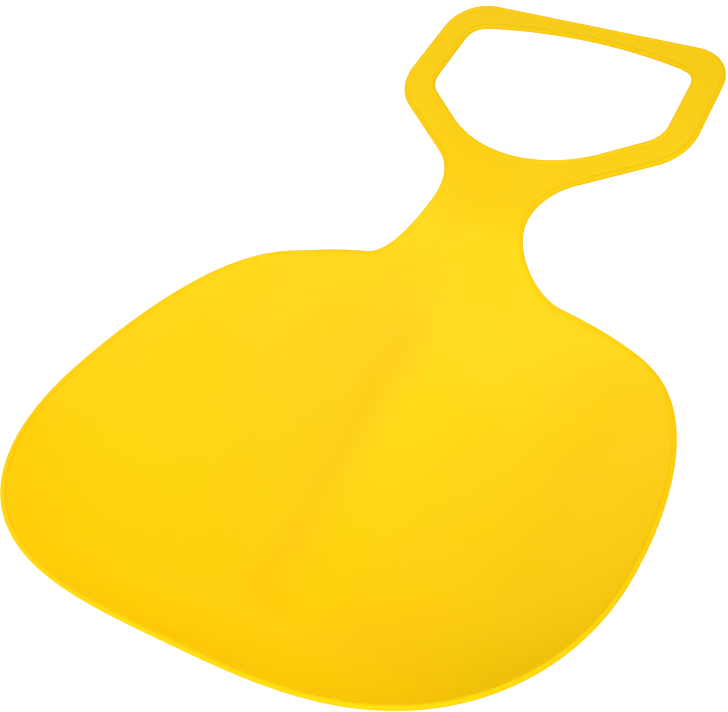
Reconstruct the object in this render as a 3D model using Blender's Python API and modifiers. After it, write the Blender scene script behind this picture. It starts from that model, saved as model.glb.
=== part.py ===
"""Snow slider: a one-piece moulded seat that tapers through a neck into a flat six-sided hand loop.

Metres, +Z up. +Y runs from the seat towards the hand loop and +X to the rider's right.
The origin is on the ground, under the middle of the slider's length and width.
"""
import math

import bmesh
import bpy
import numpy as np

# Seat outline, seen from above. "Ahead" is measured from the line across the widest part of the seat.
SEAT_HALF_WIDTH = 0.195
SEAT_REAR_REACH = 0.1362
SEAT_FRONT_REACH = 0.1657
REAR_SIDE_FULLNESS = 3.2
REAR_END_FULLNESS = 2.09
FRONT_SIDE_FULLNESS = 5.12
FRONT_END_FULLNESS = 1.76

# Neck, seen from above. The loop, the ramp and the end of the spine are measured from its narrowest line.
NECK_HALF_WIDTH = 0.0334
NECK_FILLET = 0.0396

# Hand loop, seen from above, with sharp corners that are then rounded
ELBOW_AHEAD_OF_NECK = 0.0734
ELBOW_HALF_WIDTH = 0.1057
ELBOW_RADIUS = 0.037
LOOP_SIDE_LENGTH = 0.087
LOOP_END_HALF_WIDTH = 0.1004
LOOP_END_RADIUS = 0.0277

# Hand hole, set in from the loop by the width of each bar
SIDE_BAR_AT_END = 0.0191
SIDE_BAR_AT_ELBOW = 0.0219
END_BAR_AT_CORNER = 0.0223
END_BAR_BOW = 0.0092
HOLE_ELBOW_AHEAD_OF_LOOP_ELBOW = 0.0102
HOLE_ELBOW_RADIUS = 0.0184
HOLE_END_RADIUS = 0.0116
HOLE_POINT_AHEAD_OF_NECK = 0.0187
HOLE_NEAR_RADIUS = 0.0882

# Heights above the floor of the dish
REAR_RIM_HEIGHT = 0.0975
SIDE_RIM_HEIGHT = 0.0564
FRONT_RIM_HEIGHT = 0.0228
LOOP_HEIGHT = 0.0612

# Dish: a higher fullness keeps the floor flat for longer and makes the wall steeper
DISH_CENTRE_AHEAD = 0.03
REAR_WALL_FULLNESS = 4.29
SIDE_WALL_FULLNESS = 3.2
FRONT_WALL_FULLNESS = 2.19
FRONT_FLOOR_RISE = 0.003
THIGH_GROOVE_DEPTH = 0.0044
THIGH_GROOVE_OFFSET = 0.1016
THIGH_GROOVE_HALF_WIDTH = 0.0335
THIGH_GROOVE_BEHIND_FRONT = 0.1049
THIGH_GROOVE_HALF_LENGTH = 0.0959
# The steepness sets how short the groove's soft ends are, and the fullness how far up the wall it runs
THIGH_GROOVE_END_STEEPNESS = 1.5
THIGH_GROOVE_WALL_FULLNESS = 4

# Ridge between the legs, and its ramp up to the neck
RIDGE_LENGTH = 0.1358
RAMP_FOOT_BEHIND_NECK = 0.0705
RAMP_FOOT_HEIGHT = 0.0296
RAMP_SLOPE = 0.62
RAMP_FOOT_BLEND = 0.0095
RAMP_TOP_BLEND = 0.0103
RIDGE_CREST_RADIUS = 0.0331
RIDGE_FLANK_START = 0.0141
CROWN_FADE_BEHIND_NECK = 0.0797
CROWN_END_AHEAD_OF_NECK = 0.0092
RIDGE_BLEND = 0.0155

# Spine: a low rib with a flat top along the ridge, from the rear wall to the ramp
SPINE_HEIGHT = 0.0065
SPINE_HALF_WIDTH = 0.0243
SPINE_SQUARENESS = 3.3
SPINE_START_BEHIND_WIDEST = 0.0949
SPINE_START_LENGTH = 0.0511
SPINE_FADE_BEHIND_NECK = 0.1279
SPINE_FADE_LENGTH = 0.0578

# Wall, and the thicker rounded bead along every edge
WALL = 0.0026
EDGE_THICKNESS = 0.0042
EDGE_WIDTH = 0.0036
EDGE_ROUNDING = 0.0015
EDGE_ROUNDING_SEGMENTS = 2
SHARP_ANGLE = math.radians(50.0)
WELD_DISTANCE = 0.00005

# Mesh density: rows along the rim between its landmarks, and columns from the middle to the rim
SEAT_ROWS = (20, 17, 7, 6)
LOOP_ROWS = (6, 6, 7, 5, 8)
COLUMNS = 17
CURVE_STEPS = 120
ARC_STEPS = 40
# The rear rows start this share of the rear reach behind the widest line and fan out to the rim
FAN_START = 0.72
# From 0 to 1: how much the columns close up towards the spine and the rim, where the slope changes most
COLUMN_CROWDING = 0.7


def clear_scene():
    for obj in list(bpy.data.objects):
        bpy.data.objects.remove(obj, do_unlink=True)


def even_steps(points, count):
    """count + 1 points at equal steps along a polyline."""
    steps = np.linalg.norm(np.diff(points, axis=0), axis=1)
    length = np.concatenate(([0.0], np.cumsum(steps)))
    wanted = np.linspace(0.0, length[-1], count + 1)
    return np.stack([np.interp(wanted, length, points[:, axis]) for axis in range(2)], axis=1)


def arc(centre, radius, start, end):
    angles = np.linspace(start, end, ARC_STEPS)
    return centre + radius * np.stack([np.cos(angles), np.sin(angles)], axis=1)


def rounded_corner(before, corner, after, radius):
    """The arc that rounds off a corner of an outline."""
    to_before = (before - corner) / np.linalg.norm(before - corner)
    to_after = (after - corner) / np.linalg.norm(after - corner)
    half_angle = math.acos(float(to_before @ to_after)) / 2.0
    inward = (to_before + to_after) / np.linalg.norm(to_before + to_after)
    centre = corner + inward * radius / math.sin(half_angle)
    first = corner + to_before * radius / math.tan(half_angle) - centre
    last = corner + to_after * radius / math.tan(half_angle) - centre
    start = math.atan2(first[1], first[0])
    turn = math.atan2(last[1], last[0]) - start
    turn = (turn + math.pi) % (2.0 * math.pi) - math.pi
    return arc(centre, radius, start, start + turn)


def rear_edge():
    """Quarter of a full-cornered oval, from the middle of the rear edge to the widest point."""
    angle = np.linspace(0.0, math.pi / 2.0, CURVE_STEPS)
    across = SEAT_HALF_WIDTH * np.sin(angle) ** (2.0 / REAR_SIDE_FULLNESS)
    ahead = -SEAT_REAR_REACH * np.cos(angle) ** (2.0 / REAR_END_FULLNESS)
    return np.stack([across, ahead], axis=1)


def front_edge(last_angle):
    """The fuller front quarter, from the widest point towards the middle."""
    angle = np.linspace(0.0, last_angle, CURVE_STEPS)
    across = SEAT_HALF_WIDTH * np.cos(angle) ** (2.0 / FRONT_SIDE_FULLNESS)
    ahead = SEAT_FRONT_REACH * np.sin(angle) ** (2.0 / FRONT_END_FULLNESS)
    return np.stack([across, ahead], axis=1)


def neck_joint():
    """The angle at which the front edge meets the neck's fillet, and the fillet's centre."""
    fillet_x = NECK_HALF_WIDTH + NECK_FILLET
    meeting = math.acos((fillet_x / SEAT_HALF_WIDTH) ** (FRONT_SIDE_FULLNESS / 2.0))
    return meeting, np.array((fillet_x, front_edge(meeting)[-1, 1] + NECK_FILLET))


NECK_MEETING, NECK_CENTRE = neck_joint()
NECK_AHEAD = NECK_CENTRE[1]
ELBOW_AHEAD = NECK_AHEAD + ELBOW_AHEAD_OF_NECK
LOOP_REACH = ELBOW_AHEAD + LOOP_SIDE_LENGTH
WIDEST_Y = (SEAT_REAR_REACH - LOOP_REACH) / 2.0
LOOP_ELBOW = np.array((ELBOW_HALF_WIDTH, ELBOW_AHEAD))
LOOP_END = np.array((LOOP_END_HALF_WIDTH, LOOP_REACH))
HOLE_POINT = np.array((0.0, NECK_AHEAD + HOLE_POINT_AHEAD_OF_NECK))
HOLE_ELBOW = LOOP_ELBOW + (-SIDE_BAR_AT_ELBOW, HOLE_ELBOW_AHEAD_OF_LOOP_ELBOW)
HOLE_END = LOOP_END - (SIDE_BAR_AT_END, END_BAR_AT_CORNER)
RAMP_FOOT_AHEAD = NECK_AHEAD - RAMP_FOOT_BEHIND_NECK
CROWN_FADE_START = NECK_AHEAD - CROWN_FADE_BEHIND_NECK
CROWN_END = NECK_AHEAD + CROWN_END_AHEAD_OF_NECK


def rim_runs():
    """The right half of the outline as runs, from the middle of the rear edge to the end of the loop."""
    to_elbow = LOOP_ELBOW - NECK_CENTRE
    reach = np.linalg.norm(to_elbow)
    leave = math.atan2(to_elbow[1], to_elbow[0]) + math.acos(NECK_FILLET / reach)
    lower_fillet = arc(NECK_CENTRE, NECK_FILLET, 1.5 * math.pi, math.pi)
    upper_fillet = arc(NECK_CENTRE, NECK_FILLET, math.pi, leave)
    end_middle = np.array((0.0, LOOP_REACH))
    elbow = rounded_corner(upper_fillet[-1], LOOP_ELBOW, LOOP_END, ELBOW_RADIUS)
    end = rounded_corner(LOOP_ELBOW, LOOP_END, end_middle, LOOP_END_RADIUS)
    slant = np.array((upper_fillet[-1], elbow[0]))
    side = np.array((elbow[-1], end[0]))
    end_bar = np.array((end[-1], end_middle))
    front = front_edge(NECK_MEETING)
    return [rear_edge(), front, lower_fillet, upper_fillet, slant, elbow, side, end, end_bar]


def hole_runs():
    """The right half of the hand hole as runs, from its near middle to its far middle."""
    cup = rounded_corner(HOLE_ELBOW * (-1.0, 1.0), HOLE_POINT, HOLE_ELBOW, HOLE_NEAR_RADIUS)
    cup = cup[cup[:, 0] > 0.0]
    cup = np.vstack([(0.0, cup[0, 1]), cup])
    elbow = rounded_corner(HOLE_POINT, HOLE_ELBOW, HOLE_END, HOLE_ELBOW_RADIUS)
    # The far edge bows towards the end bar as a parabola, and its corner is rounded against a chord of it
    chord_end = HOLE_END + np.array((-HOLE_END[0] / 2.0, END_BAR_BOW * (1.0 - 0.5 ** 2)))
    end = rounded_corner(HOLE_ELBOW, HOLE_END, chord_end, HOLE_END_RADIUS)
    across = np.linspace(end[-1, 0], 0.0, ARC_STEPS)
    bow = HOLE_END[1] + END_BAR_BOW * (1.0 - (across / HOLE_END[0]) ** 2)
    far_edge = np.vstack([end[-1:], np.stack([across, bow], axis=1)[1:]])
    side = np.array((elbow[-1], end[0]))
    return [np.vstack([cup, elbow[:1]]), elbow, side, end, far_edge]


def middle_runs():
    """What each run of the rim is joined to: the seat's middle line, then the edge of the hand hole."""
    hole = hole_runs()
    stations = (-FAN_START * SEAT_REAR_REACH, 0.0, RAMP_FOOT_AHEAD, NECK_AHEAD, hole[0][0, 1])
    middle = [np.array(((0.0, start), (0.0, end))) for start, end in zip(stations, stations[1:])]
    return middle + hole


def smooth_step(value):
    value = np.clip(value, 0.0, 1.0)
    return value * value * (3.0 - 2.0 * value)


def blended_max(first, second, blend):
    """The higher of two heights, rounded off where they differ by less than the blend."""
    overlap = np.maximum(blend - np.abs(first - second), 0.0) / blend
    return np.maximum(first, second) + 0.25 * blend * overlap ** 2


def seat_radius(direction):
    """Distance from the middle of the dish to the seat's oval edge in each direction."""
    oval = np.vstack([rear_edge(), front_edge(math.pi / 2.0)[1:]]) - (0.0, DISH_CENTRE_AHEAD)
    angle = np.arctan2(oval[:, 1], oval[:, 0])
    return np.interp(direction, angle, np.hypot(oval[:, 0], oval[:, 1]))


def rim_height(ahead):
    """The parabola through the heights of the rear edge, the widest line and the front edge."""
    rear_slope = (REAR_RIM_HEIGHT - SIDE_RIM_HEIGHT) / SEAT_REAR_REACH
    front_slope = (FRONT_RIM_HEIGHT - SIDE_RIM_HEIGHT) / SEAT_FRONT_REACH
    bend = (front_slope + rear_slope) / (SEAT_FRONT_REACH + SEAT_REAR_REACH)
    slope = bend * SEAT_REAR_REACH - rear_slope
    return SIDE_RIM_HEIGHT + slope * ahead + bend * ahead ** 2


def front_floor(ahead):
    """The floor ahead of the dish's middle, rising as a parabola."""
    share = (ahead - DISH_CENTRE_AHEAD) / (SEAT_FRONT_REACH - DISH_CENTRE_AHEAD)
    return FRONT_FLOOR_RISE * np.maximum(share, 0.0) ** 2


def thigh_groove(across, ahead):
    """A shallow channel for each thigh: a bell across, and a plateau with soft ends along."""
    sideways = np.exp(-((across - THIGH_GROOVE_OFFSET) / THIGH_GROOVE_HALF_WIDTH) ** 2)
    off_middle = np.abs(ahead - (SEAT_FRONT_REACH - THIGH_GROOVE_BEHIND_FRONT))
    share = 1.0 - off_middle / THIGH_GROOVE_HALF_LENGTH
    return THIGH_GROOVE_DEPTH * sideways * smooth_step(THIGH_GROOVE_END_STEEPNESS * share)


def dish_height(across, ahead):
    """An oval dish: a flat floor that turns up into a wall, whose fullness changes with direction."""
    from_centre = ahead - DISH_CENTRE_AHEAD
    direction = np.arctan2(from_centre, across)
    radius = seat_radius(direction)
    share = np.minimum(np.hypot(across, from_centre) / radius, 1.0)
    end_fullness = np.where(from_centre < 0.0, REAR_WALL_FULLNESS, FRONT_WALL_FULLNESS)
    lengthways = np.sin(direction) ** 2
    fullness = SIDE_WALL_FULLNESS + (end_fullness - SIDE_WALL_FULLNESS) * lengthways
    edge_ahead = DISH_CENTRE_AHEAD + radius * np.sin(direction)
    wall = (rim_height(edge_ahead) - front_floor(edge_ahead)) * share ** fullness
    groove = thigh_groove(across, ahead) * (1.0 - share ** THIGH_GROOVE_WALL_FULLNESS)
    return front_floor(ahead) + wall - groove


def middle_height(ahead):
    """The middle line: a straight ridge, a steeper ramp, and the level of the hand loop."""
    from_foot = ahead - RAMP_FOOT_AHEAD
    ridge = RAMP_FOOT_HEIGHT * (1.0 + from_foot / RIDGE_LENGTH)
    ramp = RAMP_FOOT_HEIGHT + RAMP_SLOPE * from_foot
    climb = blended_max(ridge, ramp, RAMP_FOOT_BLEND)
    return -blended_max(-climb, np.full_like(climb, -LOOP_HEIGHT), RAMP_TOP_BLEND)


def spine_height(across, ahead):
    """The rib along the middle: a flat-topped bell across, with soft ends along."""
    start = smooth_step((ahead + SPINE_START_BEHIND_WIDEST) / SPINE_START_LENGTH)
    fade = smooth_step((ahead - NECK_AHEAD + SPINE_FADE_BEHIND_NECK) / SPINE_FADE_LENGTH)
    section = np.exp(-np.abs(across / SPINE_HALF_WIDTH) ** SPINE_SQUARENESS)
    return SPINE_HEIGHT * section * start * (1.0 - fade)


def surface_height(across, ahead):
    """The dish, or the ridge and its ramp where they are higher, blended, with the spine on top."""
    fade = smooth_step((ahead - CROWN_FADE_START) / (CROWN_END - CROWN_FADE_START))
    # The ridge's section is a hyperbola: a round crest between two flanks that straighten
    spread = RIDGE_FLANK_START
    fall = spread ** 2 / RIDGE_CREST_RADIUS * (np.sqrt(1.0 + (across / spread) ** 2) - 1.0)
    ridge = middle_height(ahead) - (1.0 - fade) * fall
    seat = blended_max(dish_height(across, ahead), ridge, RIDGE_BLEND)
    return seat + spine_height(across, ahead)


def half_surface():
    """Rows of points from the middle to the rim, and how far each point belongs to the thick edge."""
    rows = SEAT_ROWS + LOOP_ROWS
    rim = [even_steps(run, count) for run, count in zip(rim_runs(), rows)]
    middle = [even_steps(run, count) for run, count in zip(middle_runs(), rows)]
    outer = np.vstack([rim[0]] + [run[1:] for run in rim[1:]])
    inner = np.vstack([middle[0]] + [run[1:] for run in middle[1:]])
    length = np.linalg.norm(outer - inner, axis=1)[:, None]
    beside_hole = (np.arange(len(outer)) >= sum(SEAT_ROWS))[:, None]
    even = np.linspace(0.0, 1.0, COLUMNS - 1)[None, :]
    crowded = (1.0 - COLUMN_CROWDING) * even + COLUMN_CROWDING * smooth_step(even)
    spacing = np.where(beside_hole, even, crowded)
    edge_share = EDGE_WIDTH / length
    start = np.where(beside_hole, edge_share, 0.0)
    share = start + (1.0 - edge_share - start) * spacing
    share = np.hstack([np.zeros_like(length), share, np.ones_like(length)])
    # In the seat, where the middle has no thick edge, the second column halves the first step instead
    share[:, 1:2] = np.where(beside_hole, start, share[:, 2:3] / 2.0)
    plan = inner[:, None, :] + (outer - inner)[:, None, :] * share[:, :, None]
    thick = np.zeros(share.shape)
    thick[:, -1] = 1.0
    thick[:, :1] = beside_hole
    return plan, thick


def finish_body(body):
    """Mirror the half, give it its wall and thick edge, and round the edge."""
    mirror = body.modifiers.new("left half", "MIRROR")
    mirror.merge_threshold = WELD_DISTANCE
    shell = body.modifiers.new("wall", "SOLIDIFY")
    shell.thickness = EDGE_THICKNESS
    shell.offset = 0.0
    shell.use_even_offset = True
    shell.vertex_group = "thick edge"
    rounding = body.modifiers.new("rounded edge", "BEVEL")
    rounding.width = EDGE_ROUNDING
    rounding.segments = EDGE_ROUNDING_SEGMENTS
    rounding.limit_method = "ANGLE"
    rounding.angle_limit = SHARP_ANGLE


def yellow_plastic():
    material = bpy.data.materials.new("yellow_plastic")
    material.use_nodes = True
    shader = material.node_tree.nodes["Principled BSDF"]
    shader.inputs["Base Color"].default_value = (1.0, 0.63, 0.006, 1.0)
    shader.inputs["Roughness"].default_value = 0.38
    shader.inputs["Metallic"].default_value = 0.0
    return material


def make_slider(collection):
    plan, thick = half_surface()
    rows, columns = thick.shape
    across, ahead = plan[..., 0].ravel(), plan[..., 1].ravel()
    height = surface_height(across, ahead)
    height = height - height.min() + WALL / 2.0

    mesh = bpy.data.meshes.new("slider_body")
    bm = bmesh.new()
    bmesh.ops.create_grid(bm, x_segments=columns - 1, y_segments=rows - 1, size=1.0)
    bm.verts.ensure_lookup_table()
    for vertex, x, y, z in zip(bm.verts, across, ahead + WIDEST_Y, height):
        vertex.co = (x, y, z)
    bm.to_mesh(mesh)
    bm.free()
    mesh.materials.append(yellow_plastic())

    body = bpy.data.objects.new("slider_body", mesh)
    collection.objects.link(body)
    group = body.vertex_groups.new(name="thick edge")
    thin = WALL / EDGE_THICKNESS
    for index, share in enumerate(thick.ravel()):
        group.add([index], thin + (1.0 - thin) * share, "REPLACE")
    finish_body(body)
    mesh.shade_smooth()


def main():
    clear_scene()
    collection = bpy.data.collections.new("snow_slider")
    bpy.context.scene.collection.children.link(collection)
    make_slider(collection)


main()
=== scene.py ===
# %% [markdown]
# # A moulded snow slider
# The object is one piece of yellow polyethylene: a dished seat, a ridge between the rider's legs that climbs
# to a neck, and a flat six-sided loop for both hands. Nothing on it moves and nothing is screwed on, so the
# whole lesson is about one continuous skin: how to describe it with a formula, how to give it a wall and a
# round bead along every edge, and how to make plain plastic look like plastic.
#
# The solid model that the part is tested with is loaded first. It already has the right size and place, and
# it is the frame that the fine skin has to fit.

import math

import bpy
import numpy as np
from mathutils import Matrix, Vector


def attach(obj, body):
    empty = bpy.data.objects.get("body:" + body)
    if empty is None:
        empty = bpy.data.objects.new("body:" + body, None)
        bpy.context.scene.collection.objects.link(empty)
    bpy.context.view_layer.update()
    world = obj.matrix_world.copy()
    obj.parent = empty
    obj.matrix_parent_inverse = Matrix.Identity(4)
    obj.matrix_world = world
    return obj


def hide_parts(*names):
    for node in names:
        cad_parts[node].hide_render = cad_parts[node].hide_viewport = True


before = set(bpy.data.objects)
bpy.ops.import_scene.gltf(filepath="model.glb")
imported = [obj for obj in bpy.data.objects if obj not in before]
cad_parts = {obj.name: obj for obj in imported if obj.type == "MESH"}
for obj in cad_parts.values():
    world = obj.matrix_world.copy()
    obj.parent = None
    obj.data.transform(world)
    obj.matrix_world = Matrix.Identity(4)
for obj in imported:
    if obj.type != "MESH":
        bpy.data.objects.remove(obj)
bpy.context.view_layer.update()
MM, CM = 0.001, 0.01

# %% [markdown]
# ## The outline, seen from above
# A moulder draws such a seat as an oval with full corners. A superellipse does this with two numbers a
# quarter: one for how square the side is and one for how square the end is. The rear and the front quarter
# meet at the widest line, which is where all distances "ahead" are measured from. The neck is a circle that
# touches the front edge, and the hand loop is a polygon with rounded corners.

# %% Sizes of the outline, in millimetres
SEAT_HALF_WIDTH = 195.0
SEAT_REAR_REACH = 136.2
SEAT_FRONT_REACH = 165.7
REAR_SIDE_FULLNESS, REAR_END_FULLNESS = 3.2, 2.09
FRONT_SIDE_FULLNESS, FRONT_END_FULLNESS = 5.12, 1.76
NECK_HALF_WIDTH, NECK_FILLET = 33.4, 39.6
ELBOW_AHEAD_OF_NECK, ELBOW_HALF_WIDTH, ELBOW_RADIUS = 73.4, 105.7, 37.0
LOOP_SIDE_LENGTH, LOOP_END_HALF_WIDTH, LOOP_END_RADIUS = 87.0, 100.4, 27.7
SIDE_BAR_AT_END, SIDE_BAR_AT_ELBOW = 19.1, 21.9
END_BAR_AT_CORNER, END_BAR_BOW = 22.3, 9.2
HOLE_ELBOW_AHEAD, HOLE_ELBOW_RADIUS, HOLE_END_RADIUS = 10.2, 18.4, 11.6
HOLE_POINT_AHEAD_OF_NECK, HOLE_NEAR_RADIUS = 18.7, 88.2
print("seat %.0f mm wide, neck %.0f mm, loop %.0f mm" % (
    2.0 * SEAT_HALF_WIDTH, 2.0 * NECK_HALF_WIDTH, 2.0 * ELBOW_HALF_WIDTH))

# %% Curves that an outline is made of
# Points on each curve before it is cut into even steps.
FINE = 400


def even_steps(points, count):
    """count + 1 points at equal steps along a polyline: the running length is divided evenly."""
    length = np.concatenate(([0.0], np.cumsum(np.linalg.norm(np.diff(points, axis=0), axis=1))))
    wanted = np.linspace(0.0, length[-1], count + 1)
    return np.stack([np.interp(wanted, length, points[:, k]) for k in range(2)], axis=1)


def arc(centre, radius, start, end):
    """Points on a circle: centre plus radius times (cosine, sine) of an even run of angles."""
    angle = np.linspace(start, end, FINE)
    return centre + radius * np.stack([np.cos(angle), np.sin(angle)], axis=1)


def rounded_corner(before, corner, after, radius):
    """The arc that touches both legs of a corner, its centre radius / sine(half angle) along the bisector."""
    to_before = (before - corner) / np.linalg.norm(before - corner)
    to_after = (after - corner) / np.linalg.norm(after - corner)
    half_angle = math.acos(float(to_before @ to_after)) / 2.0
    inward = (to_before + to_after) / np.linalg.norm(to_before + to_after)
    centre = corner + inward * radius / math.sin(half_angle)
    first = corner + to_before * radius / math.tan(half_angle) - centre
    last = corner + to_after * radius / math.tan(half_angle) - centre
    start = math.atan2(first[1], first[0])
    turn = (math.atan2(last[1], last[0]) - start + math.pi) % (2.0 * math.pi) - math.pi
    return arc(centre, radius, start, start + turn)


SQUARE = np.array(((0.0, 1.0), (0.0, 0.0), (1.0, 0.0)))
print("a square corner rounded by a quarter starts at", rounded_corner(*SQUARE, 0.25)[0].round(2))


# %% Rear and front edge of the seat
def rear_edge():
    """Rear quarter: across = half width * sin^(2/side fullness), ahead = -reach * cos^(2/end fullness)."""
    angle = np.linspace(0.0, math.pi / 2.0, FINE)
    return np.stack([
        SEAT_HALF_WIDTH * np.sin(angle) ** (2.0 / REAR_SIDE_FULLNESS),
        -SEAT_REAR_REACH * np.cos(angle) ** (2.0 / REAR_END_FULLNESS),
    ], axis=1)


def front_edge(last_angle):
    """Front quarter, the same curve with other fullness, from the widest point towards the middle."""
    angle = np.linspace(0.0, last_angle, FINE)
    return np.stack([
        SEAT_HALF_WIDTH * np.cos(angle) ** (2.0 / FRONT_SIDE_FULLNESS),
        SEAT_FRONT_REACH * np.sin(angle) ** (2.0 / FRONT_END_FULLNESS),
    ], axis=1)


print("the seat reaches %.1f mm back and %.1f mm ahead" % (
    -rear_edge()[0, 1], front_edge(math.pi / 2.0)[-1, 1]))

# %% Corner points of the neck, the loop and the hand hole
NECK_CENTRE_ACROSS = NECK_HALF_WIDTH + NECK_FILLET
NECK_MEETING = math.acos((NECK_CENTRE_ACROSS / SEAT_HALF_WIDTH) ** (FRONT_SIDE_FULLNESS / 2.0))
NECK_CENTRE = np.array((NECK_CENTRE_ACROSS, front_edge(NECK_MEETING)[-1, 1] + NECK_FILLET))
NECK_AHEAD = NECK_CENTRE[1]
LOOP_ELBOW = np.array((ELBOW_HALF_WIDTH, NECK_AHEAD + ELBOW_AHEAD_OF_NECK))
LOOP_END = np.array((LOOP_END_HALF_WIDTH, LOOP_ELBOW[1] + LOOP_SIDE_LENGTH))
HOLE_POINT = np.array((0.0, NECK_AHEAD + HOLE_POINT_AHEAD_OF_NECK))
HOLE_ELBOW = LOOP_ELBOW + (-SIDE_BAR_AT_ELBOW, HOLE_ELBOW_AHEAD)
HOLE_END = LOOP_END - (SIDE_BAR_AT_END, END_BAR_AT_CORNER)
WIDEST_Y = (SEAT_REAR_REACH - LOOP_END[1]) / 2.0
print("neck line %.1f mm and loop end %.1f mm ahead of the widest line" % (NECK_AHEAD, LOOP_END[1]))

# %% [markdown]
# ## Rows of the skin
# The skin is a grid. Its rows start on the middle line of the seat, and further ahead on the edge of the hand
# hole, and they end on the rim. Both ends are cut into the same runs at the same landmarks, so that the rows
# fan out round the rear, cross the neck and follow the bars of the loop without crossing each other. Only the
# right half is worked out, because the left one is its mirror image.

# %% Runs of the rim
# Steps along the rear edge, the front edge, and the two halves of the neck's circle.
SEAT_ROWS = (78, 66, 28, 26)
# Steps along the slanting bar, its elbow, the side bar, the end corner, and half of the far bar.
LOOP_ROWS = (16, 18, 22, 14, 26)
FIRST_HOLE_ROW = sum(SEAT_ROWS)


def rim_runs():
    """The rim from the middle of the rear edge, past the neck, to the middle of the loop's far bar."""
    to_elbow = LOOP_ELBOW - NECK_CENTRE
    leave = math.atan2(to_elbow[1], to_elbow[0]) + math.acos(NECK_FILLET / np.linalg.norm(to_elbow))
    lower = arc(NECK_CENTRE, NECK_FILLET, 1.5 * math.pi, math.pi)
    upper = arc(NECK_CENTRE, NECK_FILLET, math.pi, leave)
    end_middle = np.array((0.0, LOOP_END[1]))
    elbow = rounded_corner(upper[-1], LOOP_ELBOW, LOOP_END, ELBOW_RADIUS)
    end = rounded_corner(LOOP_ELBOW, LOOP_END, end_middle, LOOP_END_RADIUS)
    slant, side, end_bar = (upper[-1], elbow[0]), (elbow[-1], end[0]), (end[-1], end_middle)
    straight = [np.array(run) for run in (slant, side, end_bar)]
    front = front_edge(NECK_MEETING)
    return [rear_edge(), front, lower, upper, straight[0], elbow, straight[1], end, straight[2]]


def joined(runs, counts):
    """Runs of an outline cut into even steps and joined end to end."""
    cut = [even_steps(run, count) for run, count in zip(runs, counts)]
    return np.vstack([cut[0]] + [run[1:] for run in cut[1:]])


rim = joined(rim_runs(), SEAT_ROWS + LOOP_ROWS)
print("rim:", len(rim), "points in", len(SEAT_ROWS + LOOP_ROWS), "runs")


# %% Runs of the hand hole
def hole_runs():
    """The edge of the hand hole from its near middle to its far middle, which bows as a parabola."""
    cup = rounded_corner(HOLE_ELBOW * (-1.0, 1.0), HOLE_POINT, HOLE_ELBOW, HOLE_NEAR_RADIUS)
    cup = cup[cup[:, 0] > 0.0]
    cup = np.vstack([(0.0, cup[0, 1]), cup])
    elbow = rounded_corner(HOLE_POINT, HOLE_ELBOW, HOLE_END, HOLE_ELBOW_RADIUS)
    half_way = HOLE_END + np.array((-HOLE_END[0] / 2.0, END_BAR_BOW * (1.0 - 0.5 ** 2)))
    end = rounded_corner(HOLE_ELBOW, HOLE_END, half_way, HOLE_END_RADIUS)
    across = np.linspace(end[-1, 0], 0.0, FINE)
    bow = HOLE_END[1] + END_BAR_BOW * (1.0 - (across / HOLE_END[0]) ** 2)
    far_edge = np.vstack([end[-1:], np.stack([across, bow], axis=1)[1:]])
    return [np.vstack([cup, elbow[:1]]), elbow, np.array((elbow[-1], end[0])), end, far_edge]


hole = joined(hole_runs(), LOOP_ROWS)
print("hand hole: %d points, %.0f mm from near to far" % (len(hole), hole[-1, 1] - hole[0, 1]))

# %% [markdown]
# ## The height of the skin
# Seen from above, every point of the skin has one height, so the form is a height field. It is the higher of
# two simple forms, with the crease between them rounded off: an oval dish for the seat, and a ridge that runs
# along the middle line and climbs to the level of the loop. The dish rises as a power of the distance from
# its middle. A high power keeps the floor flat and turns the wall up late and steeply, as at the rear. Two
# finer forms lie on top of it: a shallow channel under each thigh, and a low spine with a flat top along the
# middle, which stiffens the floor where the rider sits.

# %% Sizes of the height field, in millimetres
REAR_RIM_HEIGHT, SIDE_RIM_HEIGHT, FRONT_RIM_HEIGHT = 97.5, 56.4, 22.8
LOOP_HEIGHT = 61.2
DISH_CENTRE_AHEAD = 30.0
REAR_WALL_FULLNESS, SIDE_WALL_FULLNESS, FRONT_WALL_FULLNESS = 4.29, 3.2, 2.19
FRONT_FLOOR_RISE = 3.0
GROOVE_DEPTH, GROOVE_OFFSET, GROOVE_HALF_WIDTH = 4.4, 101.6, 33.5
GROOVE_BEHIND_FRONT, GROOVE_HALF_LENGTH = 104.9, 95.9
GROOVE_END_STEEPNESS, GROOVE_WALL_FULLNESS = 1.5, 4.0
RIDGE_LENGTH, RIDGE_BLEND = 135.8, 15.5
RAMP_FOOT_BEHIND_NECK, RAMP_FOOT_HEIGHT, RAMP_SLOPE = 70.5, 29.6, 0.62
RAMP_FOOT_BLEND, RAMP_TOP_BLEND = 9.5, 10.3
CREST_RADIUS, FLANK_START = 33.1, 14.1
CROWN_FADE_BEHIND_NECK, CROWN_END_AHEAD_OF_NECK = 79.7, 9.2
SPINE_HEIGHT, SPINE_HALF_WIDTH, SPINE_SQUARENESS = 5.2, 24.3, 3.3
SPINE_START_BEHIND_WIDEST, SPINE_START_LENGTH = 94.9, 51.1
SPINE_FADE_BEHIND_NECK, SPINE_FADE_LENGTH = 127.9, 57.8
print("rim %.1f mm high behind, %.1f beside and %.1f in front" % (
    REAR_RIM_HEIGHT, SIDE_RIM_HEIGHT, FRONT_RIM_HEIGHT))


# %% Soft steps and soft corners
def smooth_step(value):
    """0 below 0, 1 above 1, and 3v^2 - 2v^3 between."""
    value = np.clip(value, 0.0, 1.0)
    return value * value * (3.0 - 2.0 * value)


def blended_max(first, second, blend):
    """The higher of two heights, plus a quarter of the blend times the square of how nearly they meet."""
    overlap = np.maximum(blend - np.abs(first - second), 0.0) / blend
    return np.maximum(first, second) + 0.25 * blend * overlap ** 2


print("where two heights of 10 mm meet, a 4 mm blend makes", blended_max(10.0, 10.0, 4.0), "mm")

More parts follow.
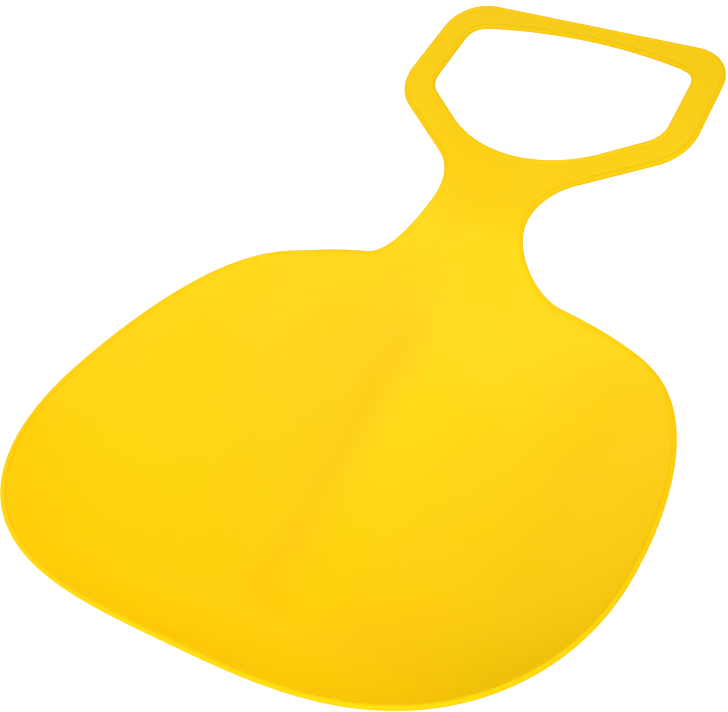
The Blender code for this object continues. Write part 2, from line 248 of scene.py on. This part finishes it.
# %% The dish
OVAL = np.vstack([rear_edge(), front_edge(math.pi / 2.0)[1:]]) - (0.0, DISH_CENTRE_AHEAD)
OVAL_ANGLE = np.arctan2(OVAL[:, 1], OVAL[:, 0])
OVAL_RADIUS = np.hypot(OVAL[:, 0], OVAL[:, 1])


def rim_height(ahead):
    """The parabola through the heights of the rear edge, the widest line and the front edge."""
    rear_slope = (REAR_RIM_HEIGHT - SIDE_RIM_HEIGHT) / SEAT_REAR_REACH
    front_slope = (FRONT_RIM_HEIGHT - SIDE_RIM_HEIGHT) / SEAT_FRONT_REACH
    bend = (front_slope + rear_slope) / (SEAT_FRONT_REACH + SEAT_REAR_REACH)
    return SIDE_RIM_HEIGHT + (bend * SEAT_REAR_REACH - rear_slope) * ahead + bend * ahead ** 2


def front_floor(ahead):
    """The floor ahead of the dish's middle rises with the square of the distance."""
    share = (ahead - DISH_CENTRE_AHEAD) / (SEAT_FRONT_REACH - DISH_CENTRE_AHEAD)
    return FRONT_FLOOR_RISE * np.maximum(share, 0.0) ** 2


def thigh_groove(across, ahead):
    """A shallow channel for each thigh: a bell curve across, a plateau with soft ends along."""
    sideways = np.exp(-((across - GROOVE_OFFSET) / GROOVE_HALF_WIDTH) ** 2)
    off_middle = np.abs(ahead - (SEAT_FRONT_REACH - GROOVE_BEHIND_FRONT))
    plateau = smooth_step(GROOVE_END_STEEPNESS * (1.0 - off_middle / GROOVE_HALF_LENGTH))
    return GROOVE_DEPTH * sideways * plateau


def dish_height(across, ahead):
    """Floor + (rim - floor) * (distance from the middle / distance of the rim) ^ fullness - thigh groove."""
    from_centre = ahead - DISH_CENTRE_AHEAD
    direction = np.arctan2(from_centre, across)
    radius = np.interp(direction, OVAL_ANGLE, OVAL_RADIUS)
    share = np.minimum(np.hypot(across, from_centre) / radius, 1.0)
    end_fullness = np.where(from_centre < 0.0, REAR_WALL_FULLNESS, FRONT_WALL_FULLNESS)
    fullness = SIDE_WALL_FULLNESS + (end_fullness - SIDE_WALL_FULLNESS) * np.sin(direction) ** 2
    edge_ahead = DISH_CENTRE_AHEAD + radius * np.sin(direction)
    wall = (rim_height(edge_ahead) - front_floor(edge_ahead)) * share ** fullness
    groove = thigh_groove(across, ahead) * (1.0 - share ** GROOVE_WALL_FULLNESS)
    return front_floor(ahead) + wall - groove


print("dish under a thigh %.1f mm, at the widest point %.1f mm" % tuple(
    dish_height(np.array((GROOVE_OFFSET, SEAT_HALF_WIDTH)), np.array((DISH_CENTRE_AHEAD, 0.0)))))


# %% The ridge, the spine and the whole skin
def middle_height(ahead):
    """The middle line: a straight ridge, then a steeper ramp, cut off at the level of the loop."""
    from_foot = ahead - (NECK_AHEAD - RAMP_FOOT_BEHIND_NECK)
    ridge = RAMP_FOOT_HEIGHT * (1.0 + from_foot / RIDGE_LENGTH)
    climb = blended_max(ridge, RAMP_FOOT_HEIGHT + RAMP_SLOPE * from_foot, RAMP_FOOT_BLEND)
    return -blended_max(-climb, np.full_like(climb, -LOOP_HEIGHT), RAMP_TOP_BLEND)


def ridge_height(across, ahead):
    """The middle line less a hyperbola's fall to the side: a round crest, then flanks that straighten. The
    fall fades out towards the neck, which is flat across."""
    fade_length = CROWN_FADE_BEHIND_NECK + CROWN_END_AHEAD_OF_NECK
    fade = smooth_step((ahead - NECK_AHEAD + CROWN_FADE_BEHIND_NECK) / fade_length)
    fall = FLANK_START ** 2 / CREST_RADIUS * (np.sqrt(1.0 + (across / FLANK_START) ** 2) - 1.0)
    return middle_height(ahead) - (1.0 - fade) * fall


def spine_height(across, ahead):
    """Height * e^-(across / half width)^squareness: a flat top with steep sides, and soft ends along."""
    start = smooth_step((ahead + SPINE_START_BEHIND_WIDEST) / SPINE_START_LENGTH)
    fade = smooth_step((ahead - NECK_AHEAD + SPINE_FADE_BEHIND_NECK) / SPINE_FADE_LENGTH)
    return SPINE_HEIGHT * np.exp(-(across / SPINE_HALF_WIDTH) ** SPINE_SQUARENESS) * start * (1.0 - fade)


def skin_height(across, ahead):
    """The higher of dish and ridge, blended where they meet, plus the spine."""
    across = np.abs(across)
    form = blended_max(dish_height(across, ahead), ridge_height(across, ahead), RIDGE_BLEND)
    return form + spine_height(across, ahead)


print("middle line at the widest line %.1f, at the ramp's foot %.1f and on the neck %.1f mm" % tuple(
    skin_height(np.zeros(3), np.array((0.0, NECK_AHEAD - RAMP_FOOT_BEHIND_NECK, NECK_AHEAD)))))

# %% [markdown]
# ## The wall and its bead
# The skin so far has no thickness. The wall is laid half above and half below it, measured square to the
# skin, so each point moves along the skin's normal. Along every edge the real slider has a round bead, a bit
# thicker than the wall, which keeps the thin edge from cutting hands. Its section is worked out here as the
# higher of a half circle and the flat wall, with a fine hollow where the two meet. That hollow is what shows
# in the light as a thin line beside the edge.

# %% Section of the edge, in millimetres
WALL = 2.6
BEAD_RADIUS = 1.6
BEAD_BLEND = 0.5
HOLLOW_DEPTH, HOLLOW_AT, HOLLOW_HALF_WIDTH = 0.12, 2.3, 0.55


def half_thickness(inset):
    """Half the section at a distance in from the bead's middle: a half circle blended into the wall."""
    circle = np.sqrt(np.maximum(BEAD_RADIUS ** 2 - inset ** 2, 0.0))
    hollow = HOLLOW_DEPTH * np.exp(-((inset - HOLLOW_AT) / HOLLOW_HALF_WIDTH) ** 2)
    return blended_max(circle, np.full_like(inset, WALL / 2.0), BEAD_BLEND) - hollow


thickness = 2.0 * half_thickness(np.array((0.0, HOLLOW_AT, 2.0 * HOLLOW_AT)))
print("thickness on the bead, in the hollow and further in:", thickness.round(2), "mm")


# %% The skin's normals
SLOPE_STEP = 0.05


def unit(vectors):
    """Vectors divided by their own lengths."""
    return vectors / np.linalg.norm(vectors, axis=-1, keepdims=True)


def lifted(plan):
    """Points of the skin above points of the plan."""
    return np.concatenate([plan, skin_height(plan[..., 0], plan[..., 1])[..., None]], axis=-1)


def skin_normal(plan):
    """The upward normal (-slope across, -slope ahead, 1) at unit length, the slopes by small steps."""
    x, y = plan[..., 0], plan[..., 1]
    slope_x = (skin_height(x + SLOPE_STEP, y) - skin_height(x - SLOPE_STEP, y)) / (2.0 * SLOPE_STEP)
    slope_y = (skin_height(x, y + SLOPE_STEP) - skin_height(x, y - SLOPE_STEP)) / (2.0 * SLOPE_STEP)
    return unit(np.stack([-slope_x, -slope_y, np.ones_like(x)], axis=-1))


def wall_side(plan, inset, up):
    """Points of the wall's upper (up = 1) or lower (up = -1) side, half a thickness along the normal."""
    return lifted(plan) + up * half_thickness(inset)[..., None] * skin_normal(plan)


half_way_up = np.array((0.0, NECK_AHEAD - RAMP_FOOT_BEHIND_NECK / 2.0))
print("the normal on the middle of the ramp:", skin_normal(half_way_up).round(2))


# %% Strips along the edges
STRIP_WIDTH, STRIP_STEPS = 3.8, 14
BEAD_STEPS = 7


def along(points):
    """Directions along a curve that is mirrored at both its ends, by central differences."""
    flip = np.ones(points.shape[-1])
    flip[0] = -1.0
    extended = np.vstack([points[1:2] * flip, points, points[-2:-1] * flip])
    before, after = extended[1:-1] - extended[:-2], extended[2:] - extended[1:-1]
    before_length = np.linalg.norm(before, axis=1, keepdims=True)
    after_length = np.linalg.norm(after, axis=1, keepdims=True)
    return unit(before * after_length / before_length + after * before_length / after_length)


def edge_strip(edge, side):
    """What a bead needs along an edge of the plan: its middle line, its outward direction in the plan and in
    space, the normal, and how far to step in the plan for each millimetre along the sloping skin.
    side is 1 where the outside lies to the right of the way along the edge, and -1 where it lies left."""
    way = along(edge)
    outward = side * np.stack([way[:, 1], -way[:, 0]], axis=1)
    middle = edge - BEAD_RADIUS * outward
    middle[[0, -1], 0] = 0.0
    normal = skin_normal(middle)
    solid_way = along(lifted(middle))
    solid_outward = unit(side * np.cross(solid_way, normal))
    shorten = np.linalg.norm(solid_outward[:, :2], axis=1, keepdims=True)
    return middle, outward, normal, solid_outward, shorten


def bead_arc(strip, up):
    """A quarter of the bead from its tip to just before its crown, as middle + radius * (cos, sin)."""
    middle, _, normal, solid_outward, _ = strip
    angle = np.linspace(0.0, math.pi / 2.0, BEAD_STEPS + 1)[:-1][None, :, None]
    tip_to_crown = np.cos(angle) * solid_outward[:, None, :] + up * np.sin(angle) * normal[:, None, :]
    return lifted(middle)[:, None, :] + BEAD_RADIUS * tip_to_crown


def strip_plan(strip):
    """Plan points from the crown of the bead inwards to the end of the strip, square to the edge."""
    middle, outward, _, _, shorten = strip
    inset = np.linspace(0.0, STRIP_WIDTH, STRIP_STEPS + 1)
    return middle[:, None, :] - (outward * shorten)[:, None, :] * inset[None, :, None], inset


rim_strip, hole_strip = edge_strip(rim, 1.0), edge_strip(hole, -1.0)
rim_plan, inset = strip_plan(rim_strip)
hole_plan, _ = strip_plan(hole_strip)
print("strips of %d and %d rows, %.1f mm wide" % (len(rim_plan), len(hole_plan), STRIP_WIDTH))

# %% [markdown]
# ## One closed surface
# Each row is a ring. It starts at the tip of the bead, goes over the top of the wall to the bead on the other
# side, and comes back underneath. Beside the hand hole the ring is closed, because there is a bead at both
# ends. In the seat its inner end lies on the middle line and is left open, to be closed by the mirror image.
# All rings together are one array of points, row by ring position by three coordinates.

# %% Points between the strips
MAIN_STEPS = 54
# How far the columns crowd to both ends, from 0, even, to 1, by the soft step alone.
COLUMN_CROWDING = 0.6
# Where on the middle line the rows of the rear edge begin to fan out, as a share of the rear reach.
FAN_START = 0.72

beside_hole = (np.arange(len(rim)) >= FIRST_HOLE_ROW)[:, None, None]


def row_starts():
    """Where the rows leave the middle line, and further ahead the strip of the hand hole."""
    stations = (-FAN_START * SEAT_REAR_REACH, 0.0, NECK_AHEAD - RAMP_FOOT_BEHIND_NECK,
                NECK_AHEAD, hole_plan[0, -1, 1])
    middle_line = joined([np.array(((0.0, a), (0.0, b))) for a, b in zip(stations, stations[1:])], SEAT_ROWS)
    return np.vstack([middle_line[:-1], hole_plan[:, -1]])


def between(start, end):
    """Points on straight lines, start + (end - start) * share. In the seat the shares lie closer together at
    both ends, on the ridge and on the wall, where the form bends most."""
    even = np.linspace(0.0, 1.0, MAIN_STEPS + 1)[None, 1:-1, None]
    crowded = (1.0 - COLUMN_CROWDING) * even + COLUMN_CROWDING * smooth_step(even)
    share = np.where(beside_hole, even, crowded)
    return start[:, None, :] + (end - start)[:, None, :] * share


starts = row_starts()
main_plan = between(starts, rim_plan[:, -1])
print("points between the strips: %d rows of %d" % main_plan.shape[:2])


# %% Rings of the right half
def padded(rows):
    """The hand hole's rows behind copies of the first one, which stand in for the rows of the seat."""
    return np.concatenate([np.repeat(rows[:1], FIRST_HOLE_ROW, axis=0), rows])


def there_and_back(upper, lower):
    """One side from the hole's bead to the rim's, then the other side back, with no point twice."""
    return np.concatenate([upper, lower[:, -2:0:-1]], axis=1)


def ring_side(plan, distance, up):
    """A row on one side of the wall: the hole's bead, the wall, and the rim's bead."""
    wall = wall_side(plan, distance, up)
    return np.concatenate([padded(bead_arc(hole_strip, up)), wall, bead_arc(rim_strip, up)[:, ::-1]], axis=1)


start_plan = np.where(beside_hole, padded(hole_plan), starts[:, None, :])
plan = np.concatenate([start_plan, main_plan, rim_plan[:, ::-1]], axis=1)
start_inset = np.where(beside_hole[..., 0], inset[None, :], STRIP_WIDTH)
main_inset = np.full(main_plan.shape[:2], STRIP_WIDTH)
rim_inset = np.broadcast_to(inset[::-1], rim_plan.shape[:2])
distance = np.concatenate([start_inset, main_inset, rim_inset], axis=1)
on_bead = np.zeros((len(rim), BEAD_STEPS))
side_distance = np.concatenate([on_bead, distance, on_bead], axis=1)
rings = there_and_back(ring_side(plan, distance, 1.0), ring_side(plan, distance, -1.0))
from_bead = there_and_back(side_distance, side_distance)
print("rings: %d rows of %d points" % rings.shape[:2])


# %% Faces of both halves
# A point that is nearer to the middle line than this, in millimetres, lies on it.
ON_MIDDLE = 1e-6


def ring_faces(rows, width):
    """Four-cornered faces between neighbouring rings. In the seat there are none round the hole's bead."""
    row, place = np.meshgrid(np.arange(rows - 1), np.arange(width), indexing="ij")
    here, there = row * width + place, row * width + (place + 1) % width
    faces = np.stack([here, there, there + width, here + width], axis=-1)
    hole_part = BEAD_STEPS + STRIP_STEPS
    keep = (row >= FIRST_HOLE_ROW) | ((place >= hole_part) & (place < width - hole_part))
    return faces[keep]


def mirrored_mesh(name, points, faces, marks):
    """A mesh of the half and its mirror image, welded where points lie on the middle line and cleared of
    unused points. The marks become the attribute of painted shade along the bead, which tells the bead from
    the wall."""
    count = len(points)
    on_middle = np.abs(points[:, 0]) < ON_MIDDLE
    points = np.where(on_middle[:, None] & (np.arange(3) == 0)[None, :], 0.0, points)
    twin = np.where(on_middle, np.arange(count), np.arange(count) + count)
    both_points = np.vstack([points, points * (-1.0, 1.0, 1.0)])
    both_faces = np.vstack([faces, twin[faces][:, ::-1]])
    used, compact = np.unique(both_faces, return_inverse=True)
    mesh = bpy.data.meshes.new(name)
    mesh.from_pydata((both_points[used] * MM).tolist(), [], compact.reshape(-1, 4).tolist())
    mark = mesh.attributes.new("bead_painted_shade", "FLOAT", "POINT")
    mark.data.foreach_set("value", np.concatenate([marks, marks])[used].astype(np.float32))
    mesh.update()
    return mesh


# %% The skin in its place
# How far in from the bead the painted shade along the bead fades out, in millimetres.
BEAD_SHADE_WIDTH = 1.6

skin_floor = rings[..., 2].min()
rings = rings + (0.0, WIDEST_Y, -skin_floor)
# Painted shade along the bead: 1 on the bead, fading to 0 further in.
bead_shade_mark = 1.0 - smooth_step(from_bead / BEAD_SHADE_WIDTH)
slider_mesh = mirrored_mesh(
    "moulded_slider", rings.reshape(-1, 3), ring_faces(*rings.shape[:2]), bead_shade_mark.ravel())
slider_mesh.shade_smooth()
moulded_slider = bpy.data.objects.new("moulded_slider", slider_mesh)
bpy.context.scene.collection.objects.link(moulded_slider)
print("lowest point of the skin was %.3f mm; faces: %d" % (skin_floor, len(slider_mesh.polygons)))


# %% Is it one closed body, facing outwards?
def body_facts(mesh):
    """Open edges, the Euler count (0 for a body with one hole) and the volume by the divergence formula."""
    loops = np.zeros(len(mesh.loops), int)
    mesh.loops.foreach_get("edge_index", loops)
    open_edges = int((np.bincount(loops, minlength=len(mesh.edges)) != 2).sum())
    euler = len(mesh.vertices) - len(mesh.edges) + len(mesh.polygons)
    mesh.calc_loop_triangles()
    corners = np.zeros(len(mesh.loop_triangles) * 3, int)
    mesh.loop_triangles.foreach_get("vertices", corners)
    points = np.zeros(len(mesh.vertices) * 3)
    mesh.vertices.foreach_get("co", points)
    a, b, c = points.reshape(-1, 3)[corners.reshape(-1, 3)].transpose(1, 0, 2)
    return open_edges, euler, float((a * np.cross(b, c)).sum() / 6.0)


open_edges, euler, volume = body_facts(slider_mesh)
print("open edges %d, Euler count %d, volume %.1f cm3" % (open_edges, euler, volume / CM ** 3))

# %% [markdown]
# ## Satin polyethylene
# Polyethylene coloured right through has no paint and no clear coat. Its look comes from four small things:
# the colour is a touch paler on the ramp, as a painted sheen that fades out towards the rear edge, it drifts
# very slightly where the melt flowed, the gloss is broken by handling and by the fine grain of the mould, and
# the bead is painted a little deeper in colour, as painted shade along the edge. The painted sheen is a
# colour ramp along the slider, and the drift, the gloss and the grain are noise. All of them read the
# object's own coordinates, so they stay put from every side. The bead's painted shade is marked by an
# attribute that was stored with the mesh.

# %% Colours and finish
# The second yellow is a painted sheen, laid over the first along the ramp, and the fourth is painted shade
# along the bead.
YELLOW_DEEP = (0.94, 0.622, 0.0003, 1.0)
YELLOW_SHEEN_PAINTED = (0.94, 0.618, 0.024, 1.0)
YELLOW_FLOW = (0.94, 0.597, 0.002, 1.0)
YELLOW_BEAD_SHADE = (0.92, 0.583, 0.002, 1.0)
# Each pair is a place on the part's axis ahead, in metres, and how much painted sheen lies there, from 0 to
# 1.
PAINTED_SHEEN_ALONG = ((-0.25, 0.0), (-0.19, 0.08), (-0.11, 0.38), (0.03, 1.0), (0.13, 0.6))
FLOW_PER_METRE, HANDLING_PER_METRE, GRAIN_PER_METRE = 14.0, 35.0, 900.0
FLOW_DETAIL, HANDLING_DETAIL, GRAIN_DETAIL = 3.0, 4.0, 2.0
SMOOTHEST, ROUGHEST = 0.42, 0.50
REFRACTION, SHEEN = 1.5, 0.02
GRAIN_DEPTH, GRAIN_STRENGTH = 0.15 * MM, 0.12


def new_material(name):
    """An empty node material with its Principled shader, and short names for adding and joining nodes."""
    material = bpy.data.materials.new(name)
    material.use_nodes = True
    tree = material.node_tree
    return material, tree.nodes, tree.links, tree.nodes["Principled BSDF"]


def noise(nodes, links, coordinates, scale, detail):
    """A noise texture with scale features per metre, and detail finer octaves laid over them."""
    texture = nodes.new("ShaderNodeTexNoise")
    texture.inputs["Scale"].default_value = scale
    texture.inputs["Detail"].default_value = detail
    links.new(coordinates, texture.inputs["Vector"])
    return texture.outputs["Fac"]


print("flow marks about %.0f mm apart, grain about %.1f mm" % (
    1.0 / FLOW_PER_METRE / MM, 1.0 / GRAIN_PER_METRE / MM))


# %% Painted sheen, strongest on the ramp
def painted_sheen(nodes, links, place):
    """How much painted sheen lies on the plastic by its place along the slider, on straight lines from pair
    to pair.
    """
    first, last = PAINTED_SHEEN_ALONG[0][0], PAINTED_SHEEN_ALONG[-1][0]
    axes = nodes.new("ShaderNodeSeparateXYZ")
    links.new(place, axes.inputs["Vector"])
    share = nodes.new("ShaderNodeMapRange")
    share.inputs["From Min"].default_value = first
    share.inputs["From Max"].default_value = last
    links.new(axes.outputs["Y"], share.inputs["Value"])
    ramp = nodes.new("ShaderNodeValToRGB")
    stops = ramp.color_ramp.elements
    for place_along, _ in PAINTED_SHEEN_ALONG[1:-1]:
        stops.new((place_along - first) / (last - first))
    for stop, (_, pale) in zip(stops, PAINTED_SHEEN_ALONG):
        stop.color = (pale, pale, pale, 1.0)
    links.new(share.outputs["Result"], ramp.inputs["Fac"])
    return ramp.outputs["Color"]


# %% Yellow plastic
def laid_over(nodes, links, colour, share):
    """A mix that lays a colour over the one on its socket A: A + (colour - A) * share."""
    mix = nodes.new("ShaderNodeMix")
    mix.data_type = "RGBA"
    mix.inputs["B"].default_value = colour
    links.new(share, mix.inputs["Factor"])
    return mix


def yellow_colour(nodes, links, place):
    """The deep yellow, with a painted sheen in a paler yellow laid over it along the slider, then the yellow
    of the flow marks by slow noise, then the deeper yellow of painted shade along the bead."""
    # Painted sheen: the paler yellow laid over the deep one along the slider.
    length = laid_over(nodes, links, YELLOW_SHEEN_PAINTED, painted_sheen(nodes, links, place))
    length.inputs["A"].default_value = YELLOW_DEEP
    flow = laid_over(nodes, links, YELLOW_FLOW, noise(nodes, links, place, FLOW_PER_METRE, FLOW_DETAIL))
    links.new(length.outputs["Result"], flow.inputs["A"])
    # Painted shade along the bead, read from the attribute stored with the mesh.
    bead = nodes.new("ShaderNodeAttribute")
    bead.attribute_name = "bead_painted_shade"
    edge = laid_over(nodes, links, YELLOW_BEAD_SHADE, bead.outputs["Fac"])
    links.new(flow.outputs["Result"], edge.inputs["A"])
    return edge.outputs["Result"]


def yellow_plastic():
    """Base colour with painted sheen by place, flow marks and painted shade on the bead, roughness from
    handling, a fine bump from the mould's grain.
    """
    material, nodes, links, shader = new_material("yellow_plastic")
    place = nodes.new("ShaderNodeTexCoord").outputs["Object"]
    links.new(yellow_colour(nodes, links, place), shader.inputs["Base Color"])
    gloss = nodes.new("ShaderNodeMapRange")
    gloss.inputs["To Min"].default_value = SMOOTHEST
    gloss.inputs["To Max"].default_value = ROUGHEST
    links.new(noise(nodes, links, place, HANDLING_PER_METRE, HANDLING_DETAIL), gloss.inputs["Value"])
    links.new(gloss.outputs["Result"], shader.inputs["Roughness"])
    shader.inputs["IOR"].default_value = REFRACTION
    shader.inputs["Specular IOR Level"].default_value = SHEEN
    bump = nodes.new("ShaderNodeBump")
    bump.inputs["Strength"].default_value = GRAIN_STRENGTH
    bump.inputs["Distance"].default_value = GRAIN_DEPTH
    links.new(noise(nodes, links, place, GRAIN_PER_METRE, GRAIN_DETAIL), bump.inputs["Height"])
    links.new(bump.outputs["Normal"], shader.inputs["Normal"])
    return material


slider_mesh.materials.append(yellow_plastic())
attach(moulded_slider, "root")
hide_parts("slider_body")
print("the fine skin stands for the solid one")

# %% [markdown]
# ## Floor, light and camera
# The slider stands on a matt white floor, as for a product picture, where hardly a shadow is left. A floor
# lit to pure white would throw far too much light back up, so it is a middling grey that only looks white:
# where a camera ray meets it, it glows by nearly one.

# %% Floor
FLOOR_SIZE = 40.0
FLOOR_GREY, FLOOR_ROUGHNESS, FLOOR_GLOW = 0.5, 0.9, 0.86


def seen_directly(nodes, links):
    """1 where the camera or a gloss looks at a surface, and 0 where light only bounces off it."""
    path = nodes.new("ShaderNodeLightPath")
    seen = nodes.new("ShaderNodeMath")
    seen.operation = "MAXIMUM"
    links.new(path.outputs["Is Camera Ray"], seen.inputs[0])
    links.new(path.outputs["Is Glossy Ray"], seen.inputs[1])
    also = nodes.new("ShaderNodeMath")
    also.operation = "MAXIMUM"
    links.new(seen.outputs[0], also.inputs[0])
    links.new(path.outputs["Is Transmission Ray"], also.inputs[1])
    return also.outputs[0]


def pale_floor():
    """A matt grey that glows to white where it is seen directly, and so keeps a faint shadow."""
    material, nodes, links, shader = new_material("pale_floor")
    shader.inputs["Base Color"].default_value = (FLOOR_GREY, FLOOR_GREY, FLOOR_GREY, 1.0)
    shader.inputs["Roughness"].default_value = FLOOR_ROUGHNESS
    shader.inputs["Specular IOR Level"].default_value = 0.0
    shader.inputs["Emission Color"].default_value = (1.0, 1.0, 1.0, 1.0)
    glow = nodes.new("ShaderNodeMath")
    glow.operation = "MULTIPLY"
    glow.inputs[1].default_value = FLOOR_GLOW
    links.new(seen_directly(nodes, links), glow.inputs[0])
    links.new(glow.outputs[0], shader.inputs["Emission Strength"])
    return material


half_floor = FLOOR_SIZE / 2.0
floor_mesh = bpy.data.meshes.new("floor")
floor_mesh.from_pydata(
    [(-half_floor, -half_floor, 0.0), (half_floor, -half_floor, 0.0),
     (half_floor, half_floor, 0.0), (-half_floor, half_floor, 0.0)], [], [(0, 1, 2, 3)])
floor_mesh.materials.append(pale_floor())
floor = bpy.data.objects.new("floor", floor_mesh)
bpy.context.scene.collection.objects.link(floor)
print("floor %.0f m wide" % FLOOR_SIZE)

# %% [markdown]
# The light is that of a white tent. A dim white world fills the shadows. Four far panels stand low round the
# slider, and it is their low angle that models the dish: the wall that turns away from them goes darker, and
# the flank of the spine that faces them goes bright. The strongest are behind it and on its right. A small
# one in front grazes the ground and lifts the inside of the rear wall. Two near panels above the seat fall
# off quickly, which leaves the hand loop a little darker than the seat.

# %% White world
WORLD_STRENGTH = 0.31


def white_world():
    """White at a low strength for the light, and pure white where it is seen directly."""
    world = bpy.data.worlds.new("white_studio")
    world.use_nodes = True
    nodes, links = world.node_tree.nodes, world.node_tree.links
    background = nodes["Background"]
    background.inputs["Color"].default_value = (1.0, 1.0, 1.0, 1.0)
    strength = nodes.new("ShaderNodeMapRange")
    strength.inputs["To Min"].default_value = WORLD_STRENGTH
    strength.inputs["To Max"].default_value = 1.0
    links.new(seen_directly(nodes, links), strength.inputs["Value"])
    links.new(strength.outputs["Result"], background.inputs["Strength"])
    return world


bpy.context.scene.world = white_world()
print("the world lights with a strength of", WORLD_STRENGTH)

# %% Soft panels
MIDDLE, SEAT = Vector((0.0, 0.0, 0.0)), Vector((0.0, -0.1, 0.03))
FAR, FAR_SIZE, LOW = 1.8, 1.4, 25.0
SMALL_SIZE, GRAZING = 0.7, 10.0
NEAR, NEAR_SIZE, HIGH = 0.8, 0.5, 50.0


def towards(azimuth, elevation):
    """The direction of a point of the sky: sin(azimuth) * cos(elevation) to the right, -cos(azimuth) *
    cos(elevation) ahead and sin(elevation) up. Azimuth 0 is behind, and a quarter turn is on the right."""
    flat = math.cos(elevation)
    return Vector((math.sin(azimuth) * flat, -math.cos(azimuth) * flat, math.sin(elevation)))


def soft_panel(name, azimuth, elevation, distance, size, share, aim):
    """A square panel that faces its aim. It gives power / (pi * distance^2) there, and full light is pi, so
    power = share of full light * (pi * distance)^2."""
    direction = towards(math.radians(azimuth), math.radians(elevation))
    light = bpy.data.lights.new(name, "AREA")
    light.shape = "SQUARE"
    light.size = size
    light.energy = share * (math.pi * distance) ** 2
    panel = bpy.data.objects.new(name, light)
    panel.location = aim + direction * distance
    panel.rotation_euler = direction.to_track_quat("Z", "Y").to_euler()
    panel.visible_camera = False
    bpy.context.scene.collection.objects.link(panel)
    return light.energy


# Name, azimuth and elevation in degrees, distance and size in metres, share of full light, and aim.
PANELS = (
    ("far_panel_behind", 0.0, LOW, FAR, FAR_SIZE, 0.55, MIDDLE),
    ("far_panel_right", 120.0, LOW, FAR, FAR_SIZE, 0.478, MIDDLE),
    ("far_panel_front", 210.0, GRAZING, FAR, SMALL_SIZE, 0.112, MIDDLE),
    ("far_panel_left", 240.0, LOW, FAR, FAR_SIZE, 0.107, MIDDLE),
    ("near_panel_right", 60.0, HIGH, NEAR, NEAR_SIZE, 0.316, SEAT),
    ("near_panel_left", 270.0, HIGH, NEAR, NEAR_SIZE, 0.308, SEAT),
)
power = [soft_panel(*panel) for panel in PANELS]
print("panel powers:", [round(watts, 1) for watts in power], "W")

# %% [markdown]
# The camera looks down at about fifty degrees from the slider's right rear corner, and it is rolled, so that
# the slider lies across the frame. Its three directions are built from azimuth, elevation and roll.

# %% Camera
CAMERA_AZIMUTH, CAMERA_ELEVATION, CAMERA_ROLL = (math.radians(a) for a in (50.372, 50.914, -24.421))
CAMERA_DISTANCE = 0.98195
CAMERA_TARGET = Vector((-0.01737, -0.03252, 0.05461))
PHOTO_WIDTH, FOCAL_PIXELS, SENSOR = 728, 1635.6, 36.0

back = towards(CAMERA_AZIMUTH, CAMERA_ELEVATION)
level_right = Vector((math.cos(CAMERA_AZIMUTH), math.sin(CAMERA_AZIMUTH), 0.0))
level_up = back.cross(level_right)
right = math.cos(CAMERA_ROLL) * level_right + math.sin(CAMERA_ROLL) * level_up
up = math.cos(CAMERA_ROLL) * level_up - math.sin(CAMERA_ROLL) * level_right
camera_data = bpy.data.cameras.new("camera")
camera_data.sensor_width = SENSOR
camera_data.lens = FOCAL_PIXELS / PHOTO_WIDTH * SENSOR
camera = bpy.data.objects.new("camera", camera_data)
turn = Matrix((right, up, back)).transposed().to_4x4()
camera.matrix_world = Matrix.Translation(CAMERA_TARGET + CAMERA_DISTANCE * back) @ turn
bpy.context.scene.collection.objects.link(camera)
bpy.context.scene.camera = camera
bpy.context.scene.view_settings.view_transform = "Standard"
print("lens %.1f mm" % camera_data.lens)
